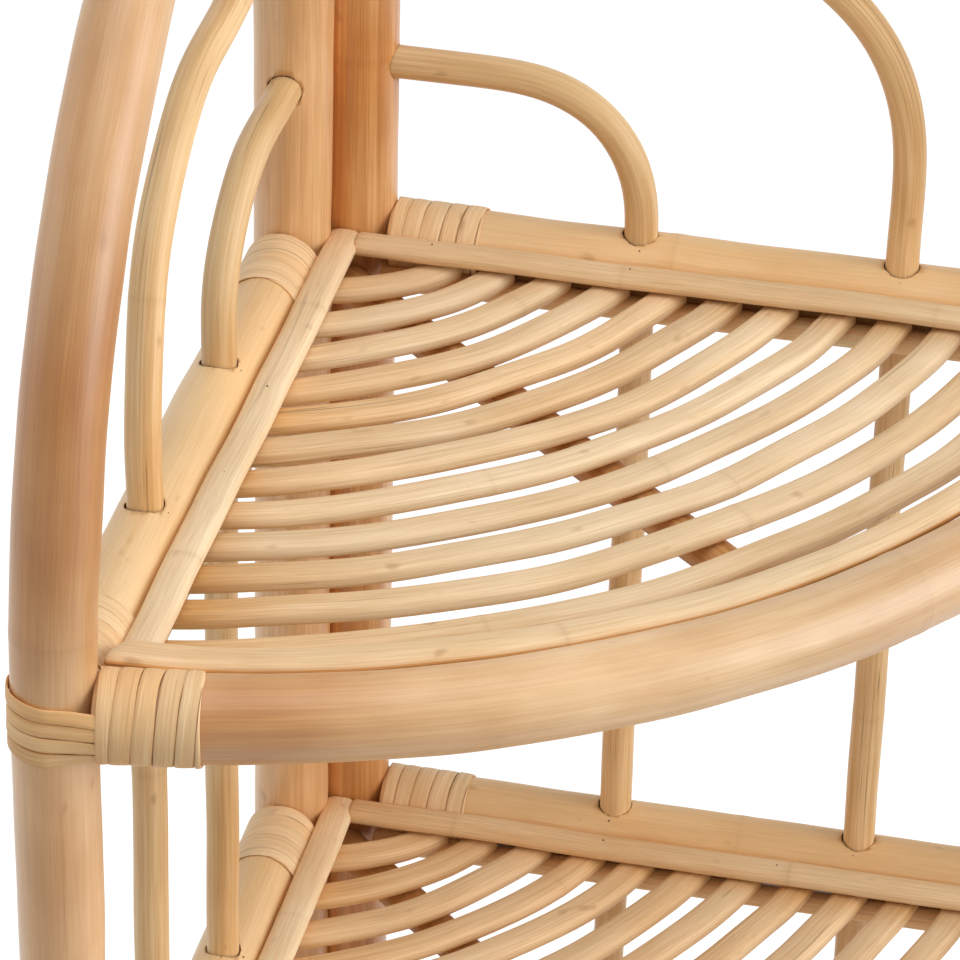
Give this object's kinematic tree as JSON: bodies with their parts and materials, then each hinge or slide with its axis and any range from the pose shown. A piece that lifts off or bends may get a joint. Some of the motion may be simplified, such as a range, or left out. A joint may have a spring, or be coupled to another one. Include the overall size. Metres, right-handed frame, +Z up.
{
  "type": "corner shelf",
  "caption": "Free-standing corner shelf of bent rattan: arched side frames with hoops and spindles, quarter-round slatted tiers, joints wrapped in peel.",
  "frame": {"origin": "middle of the square footprint, on the floor", "axes": "+Z up, -X+Y towards the wall corner, the left side frame along Y and the right one along X"},
  "size_m": [0.3806, 0.3806, 1.189],
  "materials": {
    "rattan_pole": "satin",
    "rattan_rail": "satin",
    "rattan_cane": "satin",
    "rattan_slat": "satin",
    "rattan_peel": "satin",
    "steel_screw": "satin"
  },
  "bodies": {
    "root": {"arch_bindings": "rattan_peel", "bay1_left_spindles": "rattan_cane", "bay1_right_spindles": "rattan_cane", "bay2_left_spindles": "rattan_cane", "bay2_right_spindles": "rattan_cane", "bay3_left_spindles": "rattan_cane", "bay3_right_spindles": "rattan_cane", "frame_screws": "steel_screw", "left_arch_pole": "rattan_pole", "left_back_post": "rattan_pole", "left_large_hoop": "rattan_cane", "left_small_hoop": "rattan_cane", "right_arch_pole": "rattan_pole", "right_back_post": "rattan_pole", "right_large_hoop": "rattan_cane", "right_small_hoop": "rattan_cane", "tier1_bindings": "rattan_peel", "tier1_cross_bearer": "rattan_slat", "tier1_front_rail": "rattan_pole", "tier1_front_trim": "rattan_slat", "tier1_left_ledger": "rattan_slat", "tier1_left_rail": "rattan_rail", "tier1_left_trim": "rattan_slat", "tier1_right_ledger": "rattan_slat", "tier1_right_rail": "rattan_rail", "tier1_right_trim": "rattan_slat", "tier1_slats": "rattan_slat", "tier2_bindings": "rattan_peel", "tier2_cross_bearer": "rattan_slat", "tier2_front_rail": "rattan_pole", "tier2_front_trim": "rattan_slat", "tier2_left_ledger": "rattan_slat", "tier2_left_rail": "rattan_rail", "tier2_left_trim": "rattan_slat", "tier2_right_ledger": "rattan_slat", "tier2_right_rail": "rattan_rail", "tier2_right_trim": "rattan_slat", "tier2_slats": "rattan_slat", "tier3_bindings": "rattan_peel", "tier3_cross_bearer": "rattan_slat", "tier3_front_rail": "rattan_pole", "tier3_front_trim": "rattan_slat", "tier3_left_ledger": "rattan_slat", "tier3_left_rail": "rattan_rail", "tier3_left_trim": "rattan_slat", "tier3_right_ledger": "rattan_slat", "tier3_right_rail": "rattan_rail", "tier3_right_trim": "rattan_slat", "tier3_slats": "rattan_slat", "tier4_bindings": "rattan_peel", "tier4_cross_bearer": "rattan_slat", "tier4_front_rail": "rattan_pole", "tier4_front_trim": "rattan_slat", "tier4_left_ledger": "rattan_slat", "tier4_left_rail": "rattan_rail", "tier4_left_trim": "rattan_slat", "tier4_right_ledger": "rattan_slat", "tier4_right_rail": "rattan_rail", "tier4_right_trim": "rattan_slat", "tier4_slats": "rattan_slat"}
  },
  "joints": []
}
